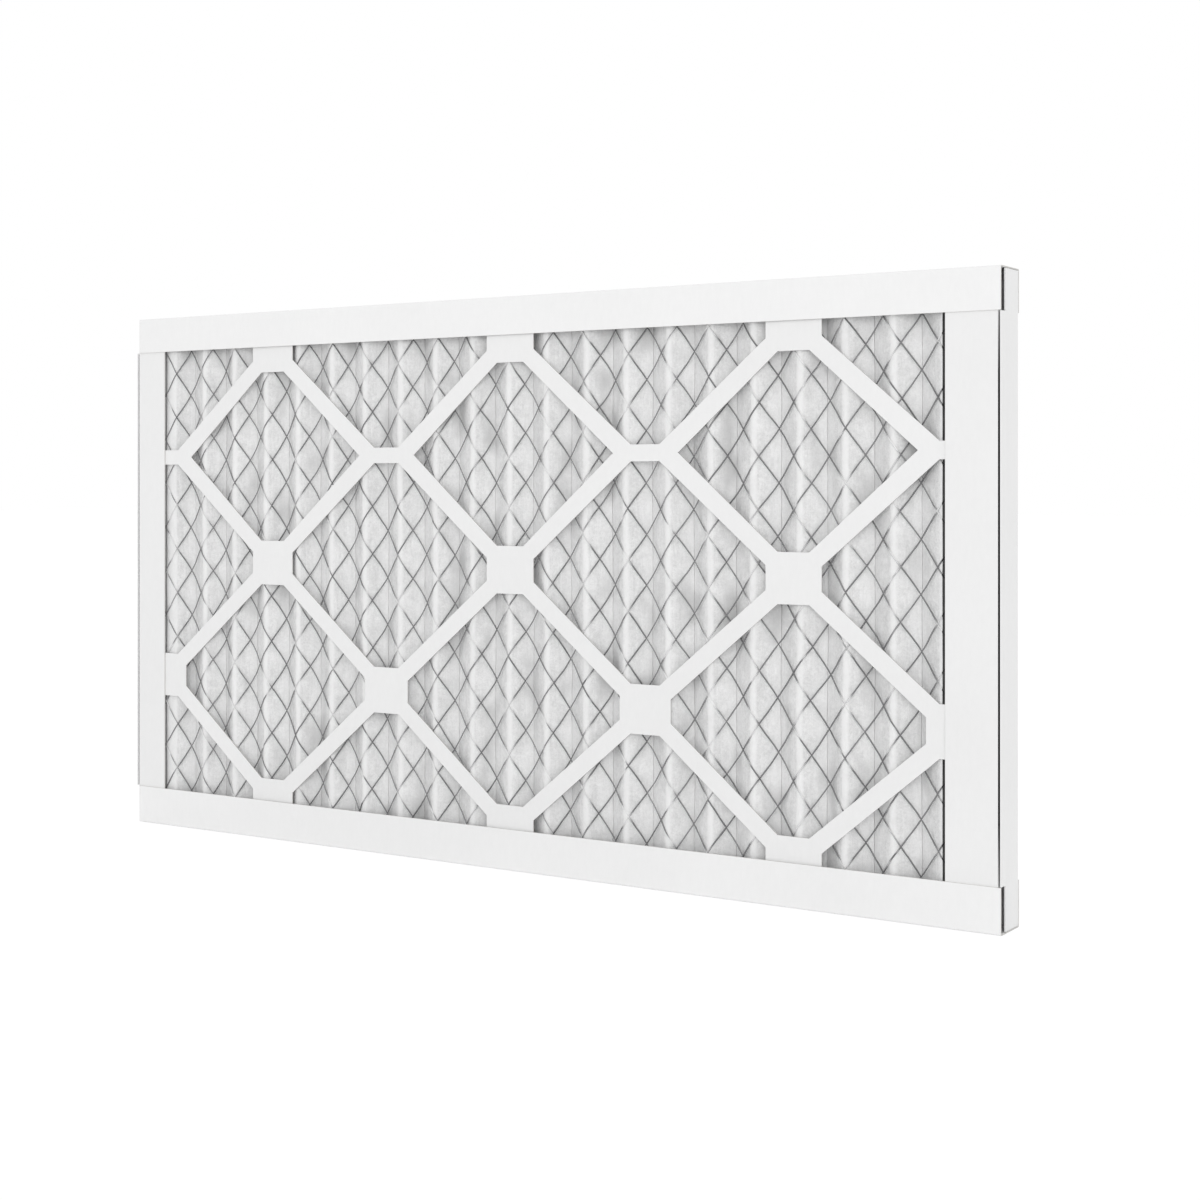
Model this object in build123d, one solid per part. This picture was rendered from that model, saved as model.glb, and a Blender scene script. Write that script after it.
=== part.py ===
"""Pleated panel air filter: a folded media pack between two die-cut grilles, in a frame of folded board.

Millimetres. X is the width, Z is up, and the face that the air leaves by looks towards -Y.
The origin is in the middle of the bottom edge.
"""

from build123d import *
import os
from math import atan2, cos, hypot, sin

# Overall size
width = 622.0
height = 343.0
depth = 25.4

# Board frame
board = 0.7
top_rail = 22.9
bottom_rail = 24.6
left_rail = 26.1
right_rail = 30.8
fold_outer_radius = 1.0
fold_inner_radius = 0.2
channel_left_setback = 2.8  # how far the top and bottom channels stop short of the left end
channel_right_setback = 0.0
wrap_gap = 0.9  # between the front rail's web and the end wall folded over it
corner_notch = 6.3  # how far the end wall is cut back behind the top and bottom rails
fit_gap = 0.2  # clearance round whatever sits inside a channel or a fold

# Die-cut grille
grille_shift = 1.9  # the lattice sits this far right of the middle
column_pitch = 94.85
lattice_rows = 5
slim_row = 1  # counted down from 0 under the top rail
columns_each_side = 3  # of the middle column
middle_row = 179.5
lower_row_pitch = 77.5
upper_row_pitch = 69.2
node_flat = 19.4
node_width = 34.2
node_height = 28.6
node_side = 13.8
slim_node_width = 43.5
slim_node_height = 9.7
grille_margin = 14.0  # solid border that lies hidden under the rails

# Pleats: open and shallow at the front, each valley closing to a narrow tuck that runs to the rear grille
pleat_count = 22
pleat_hem = 3.0
ridge_flat = 2.4
valley_depth = 6.5
tuck_gap = 0.4
tuck_end_radius = 1.6
media_thickness = 1.6

# Expanded metal backing
wire_thickness = 0.5
strand_width = 2.0
mesh_rows = 5
mesh_columns = 20
mesh_cell_pleats = 2  # each diamond is this many pleats wide

# Levels from front to back
front = -depth / 2
rear = depth / 2
side_rail_front = front + board
grille_front = side_rail_front + board
pack_front = grille_front + board
pack_rear = rear - 3 * board

# Places along the width
wall_inside = width / 2 - board
web_outside = wall_inside - wrap_gap
pack_half = web_outside - board - fit_gap
channel_start = -width / 2 + channel_left_setback
channel_end = width / 2 - channel_right_setback
channel_length = channel_end - channel_start

# Heights inside the channels
inner_bottom = board + fit_gap
inner_top = height - board - fit_gap
inner_height = inner_top - inner_bottom
inner_middle = (inner_top + inner_bottom) / 2

# Fold geometry, for the line along the middle of the media's thickness
pleated_width = 2 * (pack_half - pleat_hem)
pleat_pitch = pleated_width / pleat_count
ridge_level = pack_front + wire_thickness + media_thickness / 2
mouth_level = ridge_level + valley_depth
tuck_end_level = pack_rear - media_thickness / 2
tuck_half = (media_thickness + tuck_gap) / 2
flank_start = (pleat_pitch - ridge_flat) / 2  # how far a flank's top is from its valley
flank_slope = valley_depth / (flank_start - tuck_half)
valleys = [(pleat - (pleat_count - 1) / 2) * pleat_pitch for pleat in range(pleat_count)]


def block(x_range, y_range, z_range):
    """A box between two limits on each axis."""
    sizes = [high - low for low, high in (x_range, y_range, z_range)]
    centre = [(high + low) / 2 for low, high in (x_range, y_range, z_range)]
    return Pos(*centre) * Box(*sizes)


def strip_section(parts, outer_corners, inner_corners):
    """The section of a folded strip: flat stretches joined, with a round outside and inside to each fold."""
    section = Sketch()
    for x0, y0, x1, y1 in parts:
        section += Pos((x0 + x1) / 2, (y0 + y1) / 2) * Rectangle(x1 - x0, y1 - y0)
    for corners, radius in ((outer_corners, fold_outer_radius), (inner_corners, fold_inner_radius)):
        near = board / 4
        folds = [v for v in section.vertices() if any(hypot(v.X - x, v.Y - y) < near for x, y in corners)]
        section = fillet(folds, radius)
    return section


def channel(rail):
    """A U-section strip along X that opens upwards, with both flanges as tall as the rail."""
    section = strip_section(
        [(front, 0, front + board, rail), (rear - board, 0, rear, rail), (front, 0, rear, board)],
        [(front, 0), (rear, 0)],
        [(front + board, board), (rear - board, board)],
    )
    return Pos(channel_start, 0, 0) * extrude(Plane.YZ * section, channel_length)


def corner_blocks(y_range):
    """Cutters over the heights of the top and bottom rails, at the right end."""
    x_range = (web_outside - 2 * board, width)
    return [
        block(x_range, y_range, (-board, bottom_rail + fit_gap)),
        block(x_range, y_range, (height - top_rail - fit_gap, height + board)),
    ]


def end_rail(section):
    """A folded strip along Z that fills the height inside the channels."""
    return Pos(0, 0, inner_bottom) * extrude(section, inner_height)


def front_rail(rail):
    """The right end's front angle: a flange as wide as the rail, and a web that stops between the rails."""
    back = pack_rear + board - fit_gap
    flange_back = side_rail_front + board
    section = strip_section(
        [
            (width / 2 - rail, side_rail_front, web_outside, flange_back),
            (web_outside - board, side_rail_front, web_outside, back),
        ],
        [(web_outside, side_rail_front)],
        [(web_outside - board, flange_back)],
    )
    return end_rail(section) - corner_blocks((flange_back, rear))


def rear_rail(rail):
    """The right end's rear angle: its wall comes forward outside the front web, to a raw, notched edge."""
    flange_front = rear - 2 * board
    flange_back = rear - board
    section = strip_section(
        [
            (width / 2 - rail, flange_front, width / 2, flange_back),
            (wall_inside, side_rail_front, width / 2, flange_back),
        ],
        [(width / 2, flange_back)],
        [(wall_inside, flange_front)],
    )
    return end_rail(section) - corner_blocks((front, front + corner_notch))


def row_height(row):
    """Height of a row of nodes, counted down from 0 at the top rail."""
    rows_above_middle = lattice_rows // 2 - row
    pitch = upper_row_pitch if rows_above_middle > 0 else lower_row_pitch
    return middle_row + rows_above_middle * pitch


def node_size(row):
    """Width, height and side length of the nodes in a row."""
    if row == slim_row:
        return slim_node_width, slim_node_height, 0
    return node_width, node_height, node_side


def window(column, row):
    """The opening between four nodes: a diamond with its points cut flat where it meets them."""
    node_across, _, side = node_size(row)
    x = grille_shift + column * column_pitch
    reach = column_pitch - node_across / 2
    top = row_height(row - 1) - node_size(row - 1)[1] / 2
    bottom = row_height(row + 1) + node_size(row + 1)[1] / 2
    middle = row_height(row)
    flat = node_flat / 2
    right = [(flat, bottom), (reach, middle - side / 2), (reach, middle + side / 2), (flat, top)]
    if side == 0:
        right.pop(1)
    outline = [(x + dx, z) for dx, z in right] + [(x - dx, z) for dx, z in reversed(right)]
    return make_face(Polyline(*outline, close=True))


def grille(front_level):
    """A flat board with the diamond windows cut through, solid in a border round the edge."""
    low, high = grille_margin, height - grille_margin
    left, right = -width / 2 + grille_margin, width / 2 - grille_margin
    border = Pos((left + right) / 2, (low + high) / 2) * Rectangle(right - left, high - low)
    columns = range(-columns_each_side, columns_each_side + 1)
    windows = [window(column, row) for row in range(lattice_rows) for column in columns if (column + row) % 2]
    cut = (Sketch() + windows) & border
    sheet = Pos(0, inner_middle) * Rectangle(2 * pack_half, inner_height) - cut
    return Pos(0, front_level + board, 0) * extrude(Plane.XZ * sheet, board)


def parallel(points, distance):
    """The polyline that runs a distance in front of another, with its corners mitred."""
    headings = [atan2(y1 - y0, x1 - x0) for (x0, y0), (x1, y1) in zip(points, points[1:])]
    moved = []
    for (x, y), before, after in zip(points, [headings[0], *headings], [*headings, headings[-1]]):
        reach = distance / cos((after - before) / 2)
        middle = (before + after) / 2
        moved.append((x + reach * sin(middle), y - reach * cos(middle)))
    return moved


def media_line():
    """The middle of the media's thickness: flat ridges, sloping flanks and a tuck, six points to a pleat."""
    points = [(-pack_half, ridge_level)]
    for valley in valleys:
        left, right = valley - tuck_half, valley + tuck_half
        points += [(valley - flank_start, ridge_level), (left, mouth_level), (left, tuck_end_level)]
        points += [(right, tuck_end_level), (right, mouth_level), (valley + flank_start, ridge_level)]
    return [*points, (pack_half, ridge_level)]


def wire_line():
    """The middle of the wire's thickness: it lies on the media and passes over the mouth of each tuck."""
    on_media = parallel(media_line(), (media_thickness + wire_thickness) / 2)
    points = [on_media[0]]
    for valley, (x, y), next_ridge in zip(valleys, on_media[1::6], on_media[6::6]):
        points += [(x, y), (valley, y + (valley - x) * flank_slope), next_ridge]
    return [*points, on_media[-1]]


def folded_sheet(face_line, back_line):
    """A folded sheet between two fold lines, as tall as the channels allow."""
    ends = [Line(face_line @ 0, back_line @ 0), Line(face_line @ 1, back_line @ 1)]
    section = make_face([*face_line.edges(), *back_line.edges(), *ends])
    return Pos(0, 0, inner_bottom) * extrude(section, inner_height)


def pleated_media():
    """The nonwoven, creased on its face and rounded outside the end of each tuck."""
    half = media_thickness / 2
    tuck_ends = [0, 0, tuck_end_radius, tuck_end_radius, 0, 0] * pleat_count
    back = FilletPolyline(*parallel(media_line(), -half), radius=tuck_ends)
    return folded_sheet(Polyline(*parallel(media_line(), half)), back)


def wire_backing():
    """The expanded metal on the media's front, with its diamonds cut through."""
    half = wire_thickness / 2
    line = wire_line()
    return folded_sheet(Polyline(*parallel(line, half)), Polyline(*parallel(line, -half))) - mesh_gaps()


def mesh_gaps():
    """Diamond cutters in staggered columns, a strand's width apart."""
    across = mesh_cell_pleats * pleat_pitch / 2
    up = inner_height / (mesh_rows + 0.5) / 2
    shrink = 1 - strand_width / 2 * hypot(across, up) / (across * up)
    diamond = [(across * shrink, 0), (0, up * shrink), (-across * shrink, 0), (0, -up * shrink)]
    cutters = []
    for column in range(mesh_columns):
        x = (column - (mesh_columns - 1) / 2) * across
        for row in range(mesh_rows):
            z = inner_bottom + up * (2 * row + 1 + column % 2)
            face = make_face(Polyline(*[(x + dx, z + dz) for dx, dz in diamond], close=True))
            cutters.append(extrude(Plane.XZ * face, depth, both=True))
    return cutters


bottom_channel = channel(bottom_rail)
top_channel = Pos(0, 0, height) * mirror(channel(top_rail), Plane.XY)

nodes = {
    "bottom_channel": bottom_channel,
    "top_channel": top_channel,
    "front_right_rail": front_rail(right_rail),
    "front_left_rail": mirror(front_rail(left_rail), Plane.YZ),
    "rear_right_rail": rear_rail(right_rail),
    "rear_left_rail": mirror(rear_rail(left_rail), Plane.YZ),
    "front_grille": grille(grille_front),
    "rear_grille": grille(pack_rear),
    "pleated_media": pleated_media(),
    "wire_backing": wire_backing(),
}

os.makedirs("parts", exist_ok=True)
for name, shape in nodes.items():
    export_step(shape, f"parts/{name}.step")
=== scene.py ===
"""The looks of a pleated panel air filter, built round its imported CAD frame.

Metres. X is the width, Z is up, and the face with the wire backing looks towards -Y.
"""

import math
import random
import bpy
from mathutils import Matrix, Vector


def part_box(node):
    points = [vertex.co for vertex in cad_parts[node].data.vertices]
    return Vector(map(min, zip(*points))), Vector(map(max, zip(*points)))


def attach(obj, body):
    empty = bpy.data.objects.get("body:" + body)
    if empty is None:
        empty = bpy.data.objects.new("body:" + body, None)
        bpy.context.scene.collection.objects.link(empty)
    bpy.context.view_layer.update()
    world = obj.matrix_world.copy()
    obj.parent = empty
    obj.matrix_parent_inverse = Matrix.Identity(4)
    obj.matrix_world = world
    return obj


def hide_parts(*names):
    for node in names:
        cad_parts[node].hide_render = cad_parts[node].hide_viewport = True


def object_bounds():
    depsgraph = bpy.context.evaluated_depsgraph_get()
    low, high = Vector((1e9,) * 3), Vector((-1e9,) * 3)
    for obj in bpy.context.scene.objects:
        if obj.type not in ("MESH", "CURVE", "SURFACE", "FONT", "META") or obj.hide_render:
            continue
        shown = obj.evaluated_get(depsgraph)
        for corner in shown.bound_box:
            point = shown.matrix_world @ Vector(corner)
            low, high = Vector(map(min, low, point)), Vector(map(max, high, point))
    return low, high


bl_info = {
    "name": "Pleated Panel Filter",
    "version": (1, 0, 0),
    "blender": (4, 5, 0),
    "location": "View3D > Sidebar > Filter",
    "description": "Builds a pleated panel air filter's media, wire backing, board finishes and studio",
    "category": "Object",
}

import bpy

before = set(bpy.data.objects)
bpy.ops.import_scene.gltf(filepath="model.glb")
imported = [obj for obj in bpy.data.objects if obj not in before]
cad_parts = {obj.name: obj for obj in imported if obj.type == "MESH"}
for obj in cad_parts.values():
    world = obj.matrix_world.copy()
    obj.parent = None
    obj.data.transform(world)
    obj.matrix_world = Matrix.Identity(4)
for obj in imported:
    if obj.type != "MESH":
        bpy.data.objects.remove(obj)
CAD_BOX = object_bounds()
MM = 0.001

FRAME_BOARDS = (
    "bottom_channel",
    "top_channel",
    "front_left_rail",
    "front_right_rail",
    "rear_left_rail",
    "rear_right_rail",
)
GRILLES = ("front_grille", "rear_grille")

# How near to its plane a point of a cut edge lies, and how far from a gap's face its painted shade reaches
ON_PLANE = 0.06 * MM
CREVICE_SHADE_REACH = 0.35 * MM

# Board that is folded from one blank matches; the rails and grilles come from a slightly darker one
CHANNEL_TINT = 1.0
RAIL_TINT = 0.965

# Roundings of the folds
RIDGE_ROUNDING = 1.1 * MM
TUCK_ROUNDING = 0.95 * MM
WIRE_ROUNDING = 5 * MM

# Rows of faces up the media, and cuts in each side of a diamond
SHEET_ROWS = 52
STRAND_CUTS = 8

# Sizes of the lumps by which folds stray, nonwoven is dented and strands stray
FOLD_LUMP = 70 * MM
DENT_LUMP = 22 * MM
STRAND_LUMPS = {"X": 26 * MM, "Z": 38 * MM}


class FilterSizes(bpy.types.PropertyGroup):
    """Sizes of the pieces that are folded and woven here."""

    pleats: bpy.props.IntProperty(
        name="Pleats", description="Number of pleats in the media", default=22, min=2
    )
    hem: bpy.props.FloatProperty(
        name="Hem", description="Flat end of the media, held by the frame", default=3 * MM, unit="LENGTH"
    )
    ridge_flat: bpy.props.FloatProperty(
        name="Ridge flat", description="Width of the flat on each ridge", default=2.4 * MM, unit="LENGTH"
    )
    valley_depth: bpy.props.FloatProperty(
        name="Valley depth",
        description="From a ridge down to the mouth of a tuck",
        default=6.5 * MM,
        unit="LENGTH",
    )
    end_valley_depth: bpy.props.FloatProperty(
        name="End valley depth",
        description="The first and last valleys, pulled nearly flat",
        default=1.5 * MM,
        unit="LENGTH",
    )
    tuck_gap: bpy.props.FloatProperty(
        name="Tuck gap", description="Between the two sides of a tuck", default=0.02 * MM, unit="LENGTH"
    )
    media_thickness: bpy.props.FloatProperty(
        name="Media thickness", description="Thickness of the nonwoven", default=1.6 * MM, unit="LENGTH"
    )
    pleat_wander: bpy.props.FloatProperty(
        name="Pleat wander",
        description="How far a ridge or valley strays sideways",
        default=0.8 * MM,
        unit="LENGTH",
    )
    dent: bpy.props.FloatProperty(
        name="Dent", description="How far the nonwoven is dented in", default=0.8 * MM, unit="LENGTH"
    )
    wire_sag: bpy.props.FloatProperty(
        name="Wire sag",
        description="Share of a valley's depth that the wire follows",
        default=0.65,
        min=0,
        max=1,
    )
    wire_thickness: bpy.props.FloatProperty(
        name="Wire thickness",
        description="Thickness of the expanded metal",
        default=0.5 * MM,
        unit="LENGTH",
    )
    diamonds_per_pleat: bpy.props.FloatProperty(
        name="Diamonds per pleat",
        description="Diamonds of the wire across one pleat",
        default=1.32,
        min=0.5,
    )
    diamond_height: bpy.props.FloatProperty(
        name="Diamond height",
        description="Height of each diamond of the wire",
        default=29.6 * MM,
        unit="LENGTH",
    )
    strand: bpy.props.FloatProperty(
        name="Strand", description="Width of a strand of the wire", default=0.85 * MM, unit="LENGTH"
    )
    strand_wander: bpy.props.FloatProperty(
        name="Strand wander",
        description="How far a strand strays from straight",
        default=0.9 * MM,
        unit="LENGTH",
    )


class FilterColours(bpy.types.PropertyGroup):
    """Colours of the finishes."""

    board: bpy.props.FloatVectorProperty(
        name="Board", description="Coated face of the board", subtype="COLOR", default=(0.86, 0.86, 0.86)
    )
    raw_edge: bpy.props.FloatVectorProperty(
        name="Raw edge", description="Cut edge of the board", subtype="COLOR", default=(0.62, 0.61, 0.59)
    )
    media: bpy.props.FloatVectorProperty(
        name="Media", description="Nonwoven", subtype="COLOR", default=(0.88, 0.88, 0.88)
    )
    wire: bpy.props.FloatVectorProperty(
        name="Wire", description="Dull metal of the backing", subtype="COLOR", default=(0.2, 0.2, 0.205)
    )


class FilterStudio(bpy.types.PropertyGroup):
    """The camera and the light."""

    camera_place: bpy.props.FloatVectorProperty(
        name="Camera",
        description="Where the camera stands",
        subtype="XYZ",
        unit="LENGTH",
        default=(0.680, -0.958, 0.2318),
    )
    camera_turn: bpy.props.FloatProperty(
        name="Turn",
        description="Turn of the camera to the left of straight ahead",
        subtype="ANGLE",
        default=math.radians(32.96),
    )
    lens: bpy.props.FloatProperty(name="Lens", description="Focal length in millimetres", default=58.4)
    shift: bpy.props.FloatProperty(name="Shift", description="Vertical lens shift", default=-0.098)
    sky: bpy.props.FloatProperty(name="Sky", description="Light that comes from all round", default=0.85)
    key: bpy.props.FloatProperty(
        name="Key lamp", description="Power of the front lamp in watts", default=63.0
    )
    back: bpy.props.FloatProperty(
        name="Back lamp", description="Power of the lamp behind in watts", default=40.0
    )


class Socket:
    """A shader socket that takes part in plain arithmetic. Each sum adds a Math node."""

    def __init__(self, finish, out):
        self.finish, self.out = finish, out

    def math(self, operation, *values):
        return self.finish.node("ShaderNodeMath", {"operation": operation}, dict(enumerate(values)))

    def __add__(self, other):
        return self.math("ADD", self, other)

    def __sub__(self, other):
        return self.math("SUBTRACT", self, other)

    def __rsub__(self, other):
        return self.math("SUBTRACT", other, self)

    def __mul__(self, other):
        return self.math("MULTIPLY", self, other)

    def __lt__(self, other):
        return self.math("LESS_THAN", self, other)

    def __abs__(self):
        return self.math("ABSOLUTE", self)

    def __or__(self, other):
        return self.math("MAXIMUM", self, other)

    __radd__ = __add__
    __rmul__ = __mul__


class Finish:
    """The nodes of a material or a world being made. Every one of them comes from node()."""

    def __init__(self, owner):
        owner.use_nodes = True
        self.owner = owner
        self.tree = owner.node_tree
        self.tree.nodes.clear()

    def node(self, kind, settings=None, inputs=None, output=0):
        """A node with its settings, then its sockets' values or links. Gives one of its outputs."""
        made = self.tree.nodes.new(kind)
        for name, value in (settings or {}).items():
            if name == "stops":
                for stop, (place, colour) in zip(made.color_ramp.elements, value):
                    stop.position, stop.color = place, (*colour, 1)
            else:
                setattr(made, name, value)
        for name, value in (inputs or {}).items():
            if isinstance(value, Socket):
                self.tree.links.new(value.out, made.inputs[name])
            else:
                made.inputs[name].default_value = value
        return Socket(self, made.outputs[output]) if len(made.outputs) else None

    def place(self):
        """Where a point is, in the object's own metres."""
        return self.node("ShaderNodeTexCoord", output="Object")

    def axes(self, vector):
        """The three components of a vector."""
        split = self.node("ShaderNodeSeparateXYZ", inputs={0: vector}).out.node
        return [Socket(self, out) for out in split.outputs]

    def noise(self, where, scale, detail=2.0, roughness=0.5, distortion=0.0, stretch=(1, 1, 1)):
        """Cloudy noise from 0 to 1. scale is in lumps to the metre, before any stretch."""
        moved = self.node("ShaderNodeMapping", inputs={"Vector": where, "Scale": stretch})
        wanted = {"Vector": moved, "Scale": scale, "Detail": detail}
        wanted |= {"Roughness": roughness, "Distortion": distortion}
        return self.node("ShaderNodeTexNoise", inputs=wanted, output="Fac")

    def blend(self, share, low, high):
        """A colour between two."""
        low = low if isinstance(low, Socket) else (*low, 1)
        high = high if isinstance(high, Socket) else (*high, 1)
        return self.node("ShaderNodeMix", {"data_type": "RGBA"}, {0: share, 6: low, 7: high}, output=2)

    def ramp(self, value, zero, one):
        """0 where a value is at or before zero, 1 where it is at or past one, and even in between."""
        return self.node("ShaderNodeMapRange", {"clamp": True}, {0: value, 1: zero, 2: one, 3: 0.0, 4: 1.0})

    def bump(self, height, distance, strength=1.0, under=None):
        """A normal bent by a height from 0 to 1. distance is the depth in metres that 1 stands for."""
        wanted = {"Height": height, "Distance": distance, "Strength": strength}
        if under is not None:
            wanted["Normal"] = under
        return self.node("ShaderNodeBump", inputs=wanted)

    def surface(self, **sockets):
        """Ends the material in a Principled shader."""
        named = {name.replace("_", " "): value for name, value in sockets.items()}
        shader = self.node("ShaderNodeBsdfPrincipled", inputs=named)
        self.node("ShaderNodeOutputMaterial", inputs={"Surface": shader})
        return self.owner

    def seen(self):
        """1 for a ray from the camera, a reflection or glass, and 0 for one that only carries light."""
        rays = self.node("ShaderNodeLightPath").out.node.outputs
        kinds = ("Is Camera Ray", "Is Glossy Ray", "Is Transmission Ray")
        camera, glossy, through = (Socket(self, rays[kind]) for kind in kinds)
        return camera | glossy | through


def shade(colour, factor):
    """A colour made darker or lighter."""
    return tuple(channel * factor for channel in colour)


def board_finish(name, colours, cuts, tint=1.0, painted_crevice_shade=None):
    """Clay-coated white board: faint fibre under the coat, a duller, rougher look on the cut edges, and painted
    shade in a deep gap.

    cuts lists the (axis, level) planes that hold the cut edges. A flat sheet that faces front needs none, since
    all its cuts face sideways. tint makes one piece's board a little darker than another's. The last argument
    is (x, low, high): a face across X that lies in a deep gap, and the heights that the gap runs between; that
    face is painted near black as shade, fading out towards those heights.
    """
    finish = Finish(bpy.data.materials.new(name))
    where = finish.place()
    axes = finish.axes(where)
    clouds_in_coat = finish.noise(where, 11, detail=3)
    fibre = finish.noise(where, 420, detail=4, roughness=0.6, stretch=(1, 1, 0.35))
    pores = finish.noise(where, 2600, detail=2)
    mottle = clouds_in_coat * 0.55 + fibre * 0.45
    coat = finish.blend(mottle, shade(colours.board, 0.945 * tint), shade(colours.board, 1.055 * tint))
    if cuts:
        on_plane = [abs(axes["XYZ".index(axis)] - level) < ON_PLANE for axis, level in cuts]
        edge = on_plane[0]
        for other in on_plane[1:]:
            edge = edge | other
    else:
        normal = finish.axes(finish.node("ShaderNodeNewGeometry", output="True Normal"))
        edge = abs(normal[1]) < 0.5
    plies = finish.noise(where, 1900, detail=3, roughness=0.7, stretch=(0.2, 1, 0.2))
    core = finish.blend(plies, shade(colours.raw_edge, 0.86), shade(colours.raw_edge, 1.1))
    colour = finish.blend(edge, coat, core)
    # Painted shade: the face that lies in the deep gap is painted near black, fading out towards the gap's ends
    if painted_crevice_shade is not None:
        level, low, high = painted_crevice_shade
        from_middle = abs(axes[2] - (low + high) / 2)
        unlit = finish.ramp(from_middle, (high - low) * 0.52, (high - low) * 0.34)
        in_gap = abs(axes[0] - level) < CREVICE_SHADE_REACH
        colour = finish.blend(in_gap * unlit, colour, shade(colours.board, 0.02))
    grain = finish.bump(fibre * 0.7 + pores * 0.3, 0.03 * MM, strength=0.5)
    return finish.surface(
        Base_Color=colour,
        Roughness=0.52 + 0.08 * fibre + 0.3 * edge,
        Normal=grain,
        Specular_IOR_Level=0.35,
    )


def painted_rail_shadow(across):
    """1 in the narrow line where a side rail's shadow is painted dark on what lies behind it (weaker at the
    left rail), 0 elsewhere.
    """
    right = abs(across - (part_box("front_right_rail")[0].x - 1.4 * MM)) < 0.9 * MM
    left = abs(across - (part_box("front_left_rail")[1].x - 1.1 * MM)) < 0.6 * MM
    return right | left * 0.55


def media_finish(colours, plan):
    """Nonwoven: matted short fibres, with a painted highlight on the ridges, painted light near the tuck
    mouths, patches of painted shade down in the valleys and a painted shadow under the side rails.
    """
    finish = Finish(bpy.data.materials.new("media_nonwoven"))
    where = finish.place()
    across, depth, _ = finish.axes(where)
    matted = finish.noise(where, 750, detail=6, roughness=0.78, distortion=1.0)
    streaks = finish.noise(where, 520, detail=4, roughness=0.6, distortion=1.0, stretch=(1, 1, 0.12))
    loft = finish.noise(where, 85, detail=3, roughness=0.55)
    clumps = finish.noise(where, 260, detail=3, roughness=0.6, distortion=0.8)
    thick = finish.ramp(loft * 0.15 + clumps * 0.2 + matted * 0.45 + streaks * 0.2, 0.41, 0.6)
    flank = finish.blend(thick, shade(colours.media, 0.82), shade(colours.media, 1.13))
    ridge_front = plan.ridge_level - plan.sizes.media_thickness / 2
    facing = finish.axes(finish.node("ShaderNodeNewGeometry", output="Normal"))[1]
    # Painted highlight: a narrow pale line on each ridge crest, where the surface faces straight out
    on_crest = finish.ramp(depth, ridge_front + 1.6 * MM, ridge_front + 0.9 * MM)
    crest_highlight = finish.ramp(abs(facing), 0.9, 0.985) * on_crest
    lit = finish.blend(crest_highlight * (0.7 + 0.3 * thick), flank, shade(colours.media, 1.13))
    # Painted light: paler near the mouths of the tucks, against the shade in the valleys
    near_mouth = finish.ramp(abs(depth - plan.mouth_level), 4.2 * MM, 0.4 * MM)
    mouth_lightened = finish.blend(near_mouth * 0.5, lit, shade(colours.media, 1.13))
    # Painted shade: darker noisy patches down in the valleys
    sunk = finish.ramp(depth, ridge_front + 1.5 * MM, ridge_front + 4.5 * MM)
    valley_shade_patches = finish.ramp(finish.noise(where, 38, detail=2, stretch=(1, 1, 0.6)), 0.54, 0.7)
    shaded = finish.blend(sunk * valley_shade_patches * 0.7, mouth_lightened, shade(colours.media, 0.62))
    # Painted shadow: a near-black line on the nonwoven where it goes under a side rail
    painted_shadow_under_rail = painted_rail_shadow(across) * (depth < plan.mouth_level)
    colour = finish.blend(painted_shadow_under_rail, shaded, shade(colours.media, 0.03))
    low = finish.bump(loft * 0.5 + clumps * 0.5, 0.6 * MM, strength=0.6)
    fibres = finish.bump(matted * 0.6 + streaks * 0.4, 0.4 * MM, strength=1.0, under=low)
    matt = finish.node(
        "ShaderNodeBsdfPrincipled",
        inputs={"Base Color": colour, "Roughness": 0.95, "Normal": fibres, "Specular IOR Level": 0.1},
    )
    through = finish.node("ShaderNodeBsdfTranslucent", inputs={"Color": (*shade(colours.media, 1.05), 1)})
    cloth = finish.node("ShaderNodeMixShader", inputs={0: 0.2, 1: matt, 2: through})
    finish.node("ShaderNodeOutputMaterial", inputs={"Surface": cloth})
    return finish.owner


def wire_finish(colours, plan):
    """Dull expanded metal, with a slight bloom, a painted highlight in the nonwoven's pale colour on the
    ridges, and a painted shadow under the side rails.
    """
    finish = Finish(bpy.data.materials.new("wire_metal"))
    where = finish.place()
    across, depth, _ = finish.axes(where)
    bloom = finish.noise(where, 160, detail=3)
    drawn = finish.noise(where, 2200, detail=2, stretch=(1, 1, 0.2))
    dull = finish.blend(bloom, shade(colours.wire, 0.75), shade(colours.wire, 1.35))
    ridge_front = plan.ridge_level - plan.sizes.media_thickness / 2
    # Painted highlight: on the ridges the strands take the nonwoven's pale colour in patches, as if washed out
    # by the light there
    ridge = finish.ramp(depth, ridge_front + 0.8 * MM, ridge_front)
    painted_ridge_highlight = ridge * finish.ramp(finish.noise(where, 70, detail=1), 0.42, 0.55)
    bright = finish.blend(painted_ridge_highlight * 0.9, dull, shade(colours.media, 0.9))
    # Painted shadow: the strands turn near black where they go under a side rail
    colour = finish.blend(painted_rail_shadow(across), bright, shade(colours.wire, 0.1))
    scored = finish.bump(drawn, 0.04 * MM, strength=0.6)
    return finish.surface(Base_Color=colour, Roughness=0.38 + 0.2 * bloom, Metallic=0.4, Normal=scored)


def dress(obj, material):
    """Give a piece one material."""
    obj.data.materials.clear()
    obj.data.materials.append(material)


def only(obj):
    """Select one object and make it active."""
    bpy.ops.object.select_all(action="DESELECT")
    obj.select_set(True)
    bpy.context.view_layer.objects.active = obj


def grid(name, columns, rows):
    """A flat grid one metre square, as a new active object."""
    bpy.ops.object.select_all(action="DESELECT")
    bpy.ops.mesh.primitive_grid_add(x_subdivisions=columns, y_subdivisions=rows, size=1)
    made = bpy.context.active_object
    made.name = name
    return made


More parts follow.
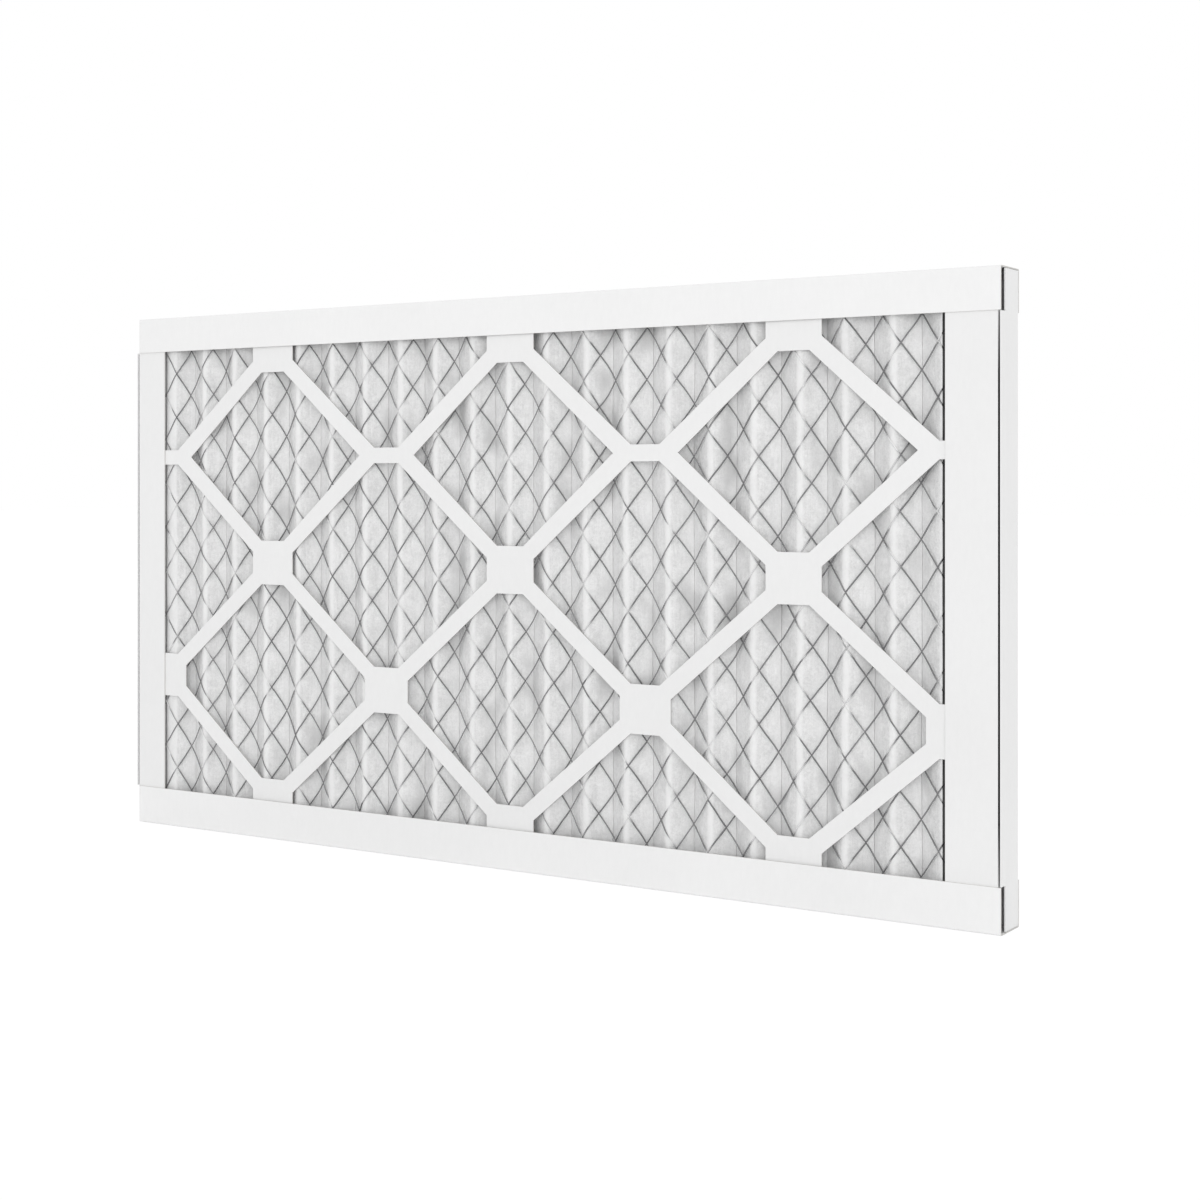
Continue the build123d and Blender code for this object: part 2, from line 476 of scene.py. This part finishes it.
def pick(obj, wanted):
    """In edit mode, select just the vertices for which wanted(position) is true."""
    bpy.ops.mesh.select_mode(type="VERT")
    bpy.ops.mesh.select_all(action="DESELECT")
    bpy.ops.object.mode_set(mode="OBJECT")
    for vertex in obj.data.vertices:
        vertex.select = bool(wanted(vertex.co))
    bpy.ops.object.mode_set(mode="EDIT")


def modify(obj, kind, **settings):
    """Add a modifier, set it and apply it."""
    only(obj)
    made = obj.modifiers.new(kind.title(), kind)
    for name, value in settings.items():
        setattr(made, name, value)
    bpy.ops.object.modifier_apply(modifier=made.name)


def press_inside(obj, low, high):
    """Press whatever stands past a box back onto its sides, as the pieces around it do."""
    for vertex in obj.data.vertices:
        vertex.co = [min(max(place, least), most) for place, least, most in zip(vertex.co, low, high)]


def clouds(name, size):
    """A cloud texture for Displace, with lumps of a size in metres."""
    made = bpy.data.textures.new(name, "CLOUDS")
    made.noise_scale = size
    made.noise_depth = 2
    return made


class PleatPlan:
    """Where the folds lie, worked out from the media's CAD node. Each ridge and valley strays a little."""

    def __init__(self, sizes):
        self.low, self.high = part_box("pleated_media")
        self.sizes = sizes
        half_media = sizes.media_thickness / 2
        self.pitch = (self.high.x - self.low.x - 2 * sizes.hem) / sizes.pleats
        self.ridge_level = self.low.y + half_media
        self.mouth_level = self.ridge_level + sizes.valley_depth
        self.tuck_end_level = self.high.y - half_media
        self.tuck_half = half_media + sizes.tuck_gap / 2
        self.height = self.high.z - self.low.z
        wander = random.Random(7)
        places = [(i - sizes.pleats) * self.pitch / 2 for i in range(2 * sizes.pleats + 1)]
        self.folds = [x + wander.uniform(-1, 1) * sizes.pleat_wander for x in places]

    def pleats(self):
        """Each pleat's valley and depth, with the ends of the flats on the ridges beside it."""
        flat = self.sizes.ridge_flat / 2
        for i in range(1, len(self.folds), 2):
            at_end = i in (1, len(self.folds) - 2)
            deep = self.sizes.end_valley_depth if at_end else self.sizes.valley_depth
            yield self.folds[i - 1] + flat, self.folds[i], self.folds[i + 1] - flat, deep

    def media_line(self):
        """The middle of the media's thickness, seen from above."""
        points = [(self.low.x, self.ridge_level)]
        for start, valley, end, deep in self.pleats():
            left, right = valley - self.tuck_half, valley + self.tuck_half
            mouth = self.ridge_level + deep
            points += [(start, self.ridge_level), (left, mouth), (left, self.tuck_end_level)]
            points += [(right, self.tuck_end_level), (right, mouth), (end, self.ridge_level)]
        return [*points, (self.high.x, self.ridge_level)]

    def wire_line(self):
        """The middle of the wire's thickness, seen from above."""
        lift = (self.sizes.media_thickness + self.sizes.wire_thickness) / 2
        run = self.pitch / 2 - self.sizes.ridge_flat / 2 - self.tuck_half
        level = self.ridge_level - lift
        points = [(self.low.x, level)]
        for start, valley, end, deep in self.pleats():
            slope = math.atan2(deep * self.sizes.wire_sag, run)
            spread = lift * math.tan(slope / 2)
            bottom = level + (valley - start - spread) * math.tan(slope)
            points += [(start + spread, level), (valley, bottom), (end - spread, level)]
        return [*points, (self.high.x, level)]


def chain(name, points, level):
    """A chain of edges through points seen from above, as a new active object."""
    made = grid(name, len(points) - 1, 1)
    bpy.ops.object.mode_set(mode="EDIT")
    pick(made, lambda p: p.y > 0)
    bpy.ops.mesh.delete(type="VERT")
    bpy.ops.object.mode_set(mode="OBJECT")
    for vertex, (x, y) in zip(sorted(made.data.vertices, key=lambda v: v.co.x), points):
        vertex.co = (x, y, level)
    return made


def soften(obj, wanted, offset, segments):
    """Round the corners of a chain for which wanted(position) is true."""
    only(obj)
    bpy.ops.object.mode_set(mode="EDIT")
    pick(obj, wanted)
    bpy.ops.mesh.bevel(
        offset_type="OFFSET", offset=offset, segments=segments, affect="VERTICES", clamp_overlap=True
    )
    bpy.ops.object.mode_set(mode="OBJECT")


def rumple(obj, sizes, group=""):
    """Let a folded piece stray sideways and be dented in, the same way at the same place for every piece."""
    modify(
        obj,
        "DISPLACE",
        texture=clouds("fold_wander", FOLD_LUMP),
        texture_coords="GLOBAL",
        direction="X",
        strength=2 * sizes.pleat_wander,
        mid_level=0.5,
    )
    modify(
        obj,
        "DISPLACE",
        texture=clouds("nonwoven_dents", DENT_LUMP),
        texture_coords="GLOBAL",
        direction="Y",
        strength=sizes.dent,
        mid_level=0.25,
        vertex_group=group,
    )


class PANEL_FILTER_OT_fold_media(bpy.types.Operator):
    """Fold the nonwoven media into its pleats"""

    bl_idname = "panel_filter.fold_media"
    bl_label = "Fold media"

    def execute(self, context):
        sizes, colours = context.scene.filter_sizes, context.scene.filter_colours
        plan = PleatPlan(sizes)
        media = chain("pleated_nonwoven", plan.media_line(), plan.low.z)
        small = 0.3 * MM
        soften(media, lambda p: abs(p.y - plan.ridge_level) < small, RIDGE_ROUNDING, 3)
        soften(media, lambda p: abs(p.y - plan.tuck_end_level) < small, TUCK_ROUNDING, 3)
        flat = (self.length(media), plan.height)
        self.cut_long_edges(media)
        self.raise_sheet(media, plan.height)
        self.name_front(media, plan.mouth_level)
        rumple(media, sizes, group="front")
        self.thicken(media, sizes)
        press_inside(media, plan.low, plan.high)
        dress(media, media_finish(colours, plan))
        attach(media, "root")
        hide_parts("pleated_media")
        return {"FINISHED"}

    def length(self, line):
        """The length of a chain of edges."""
        points = line.data.vertices
        ends = (edge.vertices for edge in line.data.edges)
        return sum((points[a].co - points[b].co).length for a, b in ends)

    def cut_long_edges(self, line):
        """Cut the straight stretches of the chain into short lengths."""
        for longest, cuts in ((9 * MM, 2), (4 * MM, 1)):
            only(line)
            bpy.ops.object.mode_set(mode="EDIT")
            bpy.ops.mesh.select_mode(type="EDGE")
            bpy.ops.mesh.select_all(action="DESELECT")
            bpy.ops.object.mode_set(mode="OBJECT")
            points = line.data.vertices
            for edge in line.data.edges:
                a, b = (points[i].co for i in edge.vertices)
                edge.select = (a - b).length > longest
            bpy.ops.object.mode_set(mode="EDIT")
            bpy.ops.mesh.subdivide(number_cuts=cuts)
            bpy.ops.object.mode_set(mode="OBJECT")

    def raise_sheet(self, line, height):
        """Pull the chain up into a sheet, a row at a time."""
        only(line)
        bpy.ops.object.mode_set(mode="EDIT")
        bpy.ops.mesh.select_mode(type="EDGE")
        bpy.ops.mesh.select_all(action="SELECT")
        for _ in range(SHEET_ROWS):
            bpy.ops.mesh.extrude_region_move(
                TRANSFORM_OT_translate={"value": (0, 0, height / SHEET_ROWS)}
            )
        bpy.ops.mesh.select_all(action="SELECT")
        bpy.ops.mesh.normals_make_consistent(inside=False)
        bpy.ops.object.mode_set(mode="OBJECT")

    def name_front(self, sheet, level):
        """Gather the part of the sheet in front of the tucks in a vertex group."""
        group = sheet.vertex_groups.new(name="front")
        group.add([v.index for v in sheet.data.vertices if v.co.y < level], 1.0, "REPLACE")

    def thicken(self, sheet, sizes):
        """Give the sheet its thickness and shade it smooth."""
        modify(sheet, "SOLIDIFY", thickness=sizes.media_thickness, offset=0)
        bpy.ops.object.mode_set(mode="EDIT")
        bpy.ops.mesh.select_all(action="SELECT")
        bpy.ops.mesh.normals_make_consistent(inside=False)
        bpy.ops.object.mode_set(mode="OBJECT")
        bpy.ops.object.shade_smooth_by_angle(angle=math.radians(50))


class PANEL_FILTER_OT_lay_backing(bpy.types.Operator):
    """Expand the wire backing and lay it over the media"""

    bl_idname = "panel_filter.lay_backing"
    bl_label = "Lay backing"

    def execute(self, context):
        sizes, colours = context.scene.filter_sizes, context.scene.filter_colours
        plan = PleatPlan(sizes)
        guide = chain("fold_guide", plan.wire_line(), plan.low.z)
        soften(guide, lambda p: p.y > plan.ridge_level, WIRE_ROUNDING, 5)
        only(guide)
        bpy.ops.object.convert(target="CURVE")
        length = guide.data.splines[0].calc_length()
        wire = self.diamonds(length, plan, sizes)
        modify(wire, "CURVE", object=guide, deform_axis="POS_X")
        rumple(wire, sizes)
        self.thicken(wire, sizes)
        press_inside(wire, *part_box("wire_backing"))
        bpy.data.objects.remove(guide)
        dress(wire, wire_finish(colours, plan))
        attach(wire, "root")
        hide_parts("wire_backing")
        return {"FINISHED"}

    def diamonds(self, length, plan, sizes):
        """A flat net of diamonds standing on their points, as long as the unfolded backing."""
        wide = length / sizes.pleats / sizes.diamonds_per_pleat
        tall = sizes.diamond_height
        count = math.ceil(length / wide + plan.height / tall) + 2
        net = grid("expanded_metal", count, count)
        net.scale = (count, count, 1)
        bpy.ops.object.transform_apply(location=True, rotation=True, scale=True)
        net.rotation_euler = (0, 0, math.radians(45))
        bpy.ops.object.transform_apply(location=True, rotation=True, scale=True)
        net.scale = (wide / math.sqrt(2), tall / math.sqrt(2), 1)
        bpy.ops.object.transform_apply(location=True, rotation=True, scale=True)
        net.rotation_euler = (math.radians(90), 0, 0)
        net.location = (length / 2, 0, plan.low.z + plan.height / 2)
        bpy.ops.object.transform_apply(location=True, rotation=True, scale=True)
        bpy.ops.object.mode_set(mode="EDIT")
        bpy.ops.mesh.select_all(action="SELECT")
        bpy.ops.mesh.delete(type="ONLY_FACE")
        margin = sizes.strand_wander + 0.6 * MM
        for place, outward in (
            ((margin, 0, 0), (-1, 0, 0)),
            ((length - margin, 0, 0), (1, 0, 0)),
            ((0, 0, plan.low.z + margin), (0, 0, -1)),
            ((0, 0, plan.high.z - margin), (0, 0, 1)),
        ):
            bpy.ops.mesh.select_all(action="SELECT")
            bpy.ops.mesh.bisect(plane_co=place, plane_no=outward, clear_outer=True)
        bpy.ops.mesh.select_all(action="SELECT")
        bpy.ops.mesh.subdivide(number_cuts=STRAND_CUTS)
        bpy.ops.object.mode_set(mode="OBJECT")
        for direction, lump in STRAND_LUMPS.items():
            modify(
                net,
                "DISPLACE",
                texture=clouds("strand_wander_" + direction, lump),
                texture_coords="LOCAL",
                direction=direction,
                strength=2 * sizes.strand_wander,
                mid_level=0.5,
            )
        return net

    def thicken(self, net, sizes):
        """Turn each strand into a thin bar, a little stouter where strands meet."""
        only(net)
        bpy.ops.object.convert(target="CURVE")
        for strand in net.data.splines:
            last = len(strand.points) - 1
            for i, point in enumerate(strand.points):
                near_end = min(i, last - i) < 2
                point.radius = 1.3 if near_end else 1.0
        net.data.bevel_depth = sizes.strand / 2
        net.data.bevel_resolution = 0
        net.data.use_fill_caps = True
        bpy.ops.object.convert(target="MESH")


class PANEL_FILTER_OT_finish_boards(bpy.types.Operator):
    """Give the folded board frame its coated finish"""

    bl_idname = "panel_filter.finish_boards"
    bl_label = "Finish frame boards"

    def execute(self, context):
        colours = context.scene.filter_colours
        for name in FRAME_BOARDS:
            low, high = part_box(name)
            painted_crevice_shade = None
            if name.endswith("channel"):
                rail_end = high.z if name.startswith("bottom") else low.z
                cuts = [("X", low.x), ("X", high.x), ("Z", rail_end)]
            else:
                inner = high.x if "left" in name else low.x
                cuts = [("X", inner), ("Z", low.z), ("Z", high.z)]
            # The right rail's web, in the gap by the end wall, gets painted shade
            if name == "front_right_rail":
                painted_crevice_shade = (high.x, low.z, high.z)
            tint = CHANNEL_TINT if name.endswith("channel") else RAIL_TINT
            finish = board_finish(name + "_board", colours, cuts, tint, painted_crevice_shade=painted_crevice_shade)
            dress(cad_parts[name], finish)
        return {"FINISHED"}


class PANEL_FILTER_OT_finish_grilles(bpy.types.Operator):
    """Give the die-cut grilles their coated finish"""

    bl_idname = "panel_filter.finish_grilles"
    bl_label = "Finish grilles"

    def execute(self, context):
        colours = context.scene.filter_colours
        for name in GRILLES:
            finish = board_finish(name + "_board", colours, cuts=[], tint=RAIL_TINT)
            dress(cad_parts[name], finish)
        return {"FINISHED"}


class PANEL_FILTER_OT_set_studio(bpy.types.Operator):
    """Set up the floor, the light and the camera"""

    bl_idname = "panel_filter.set_studio"
    bl_label = "Set studio"

    def execute(self, context):
        studio = context.scene.filter_studio
        self.floor()
        self.sky(context.scene, studio)
        self.lamp("key_lamp", (2.7, -4.1, 1.1), 3.6, studio.key)
        self.lamp("back_lamp", (-2.6, 4.0, 1.8), 3.6, studio.back)
        self.camera(context.scene, studio)
        return {"FINISHED"}

    def floor(self):
        bpy.ops.object.select_all(action="DESELECT")
        bpy.ops.mesh.primitive_plane_add(size=24)
        floor = bpy.context.active_object
        floor.name = "studio_floor"
        finish = Finish(bpy.data.materials.new("studio_floor"))
        paper = finish.node("ShaderNodeBsdfDiffuse", inputs={"Color": (0.95, 0.95, 0.95, 1)})
        glow = finish.node("ShaderNodeEmission", inputs={"Color": (1, 1, 1, 1), "Strength": 1.07})
        mixed = finish.node("ShaderNodeMixShader", inputs={0: finish.seen() * 0.8, 1: paper, 2: glow})
        finish.node("ShaderNodeOutputMaterial", inputs={"Surface": mixed})
        dress(floor, finish.owner)

    def sky(self, scene, studio):
        scene.world = bpy.data.worlds.new("studio_sky")
        finish = Finish(scene.world)
        strength = studio.sky + (1 - studio.sky) * finish.seen()
        glow = finish.node("ShaderNodeBackground", inputs={"Color": (1, 1, 1, 1), "Strength": strength})
        finish.node("ShaderNodeOutputWorld", inputs={"Surface": glow})

    def lamp(self, name, place, size, power):
        bpy.ops.object.light_add(type="AREA", location=place)
        lamp = bpy.context.active_object
        lamp.name = name
        lamp.data.shape = "DISK"
        lamp.data.size = size
        lamp.data.energy = power
        middle = (CAD_BOX[0] + CAD_BOX[1]) / 2
        lamp.rotation_euler = (middle - lamp.location).to_track_quat("-Z", "Y").to_euler()

    def camera(self, scene, studio):
        turn = (math.pi / 2, 0, studio.camera_turn)
        bpy.ops.object.camera_add(location=studio.camera_place, rotation=turn)
        camera = bpy.context.active_object
        camera.name = "studio_camera"
        camera.data.sensor_width = 36
        camera.data.lens = studio.lens
        camera.data.shift_y = studio.shift
        scene.camera = camera
        scene.view_settings.view_transform = "Standard"


class PANEL_FILTER_PT_build(bpy.types.Panel):
    """The filter's pieces, in the order they are built"""

    bl_idname = "PANEL_FILTER_PT_build"
    bl_label = "Pleated panel filter"
    bl_space_type = "VIEW_3D"
    bl_region_type = "UI"
    bl_category = "Filter"

    def draw(self, context):
        for step in STEPS:
            self.layout.operator(step.bl_idname)
        for group in GROUPS:
            settings = getattr(context.scene, group)
            for name in settings.__annotations__:
                self.layout.prop(settings, name)


GROUPS = {"filter_sizes": FilterSizes, "filter_colours": FilterColours, "filter_studio": FilterStudio}
STEPS = (
    PANEL_FILTER_OT_finish_boards,
    PANEL_FILTER_OT_finish_grilles,
    PANEL_FILTER_OT_fold_media,
    PANEL_FILTER_OT_lay_backing,
    PANEL_FILTER_OT_set_studio,
)


def register():
    for name, group in GROUPS.items():
        bpy.utils.register_class(group)
        setattr(bpy.types.Scene, name, bpy.props.PointerProperty(type=group))
    for step in (*STEPS, PANEL_FILTER_PT_build):
        bpy.utils.register_class(step)


def unregister():
    for step in (PANEL_FILTER_PT_build, *reversed(STEPS)):
        bpy.utils.unregister_class(step)
    for name, group in reversed(GROUPS.items()):
        delattr(bpy.types.Scene, name)
        bpy.utils.unregister_class(group)


def main():
    register()
    bpy.ops.panel_filter.finish_boards()
    bpy.ops.panel_filter.finish_grilles()
    bpy.ops.panel_filter.fold_media()
    bpy.ops.panel_filter.lay_backing()
    bpy.ops.panel_filter.set_studio()


if __name__ == "__main__":
    main()
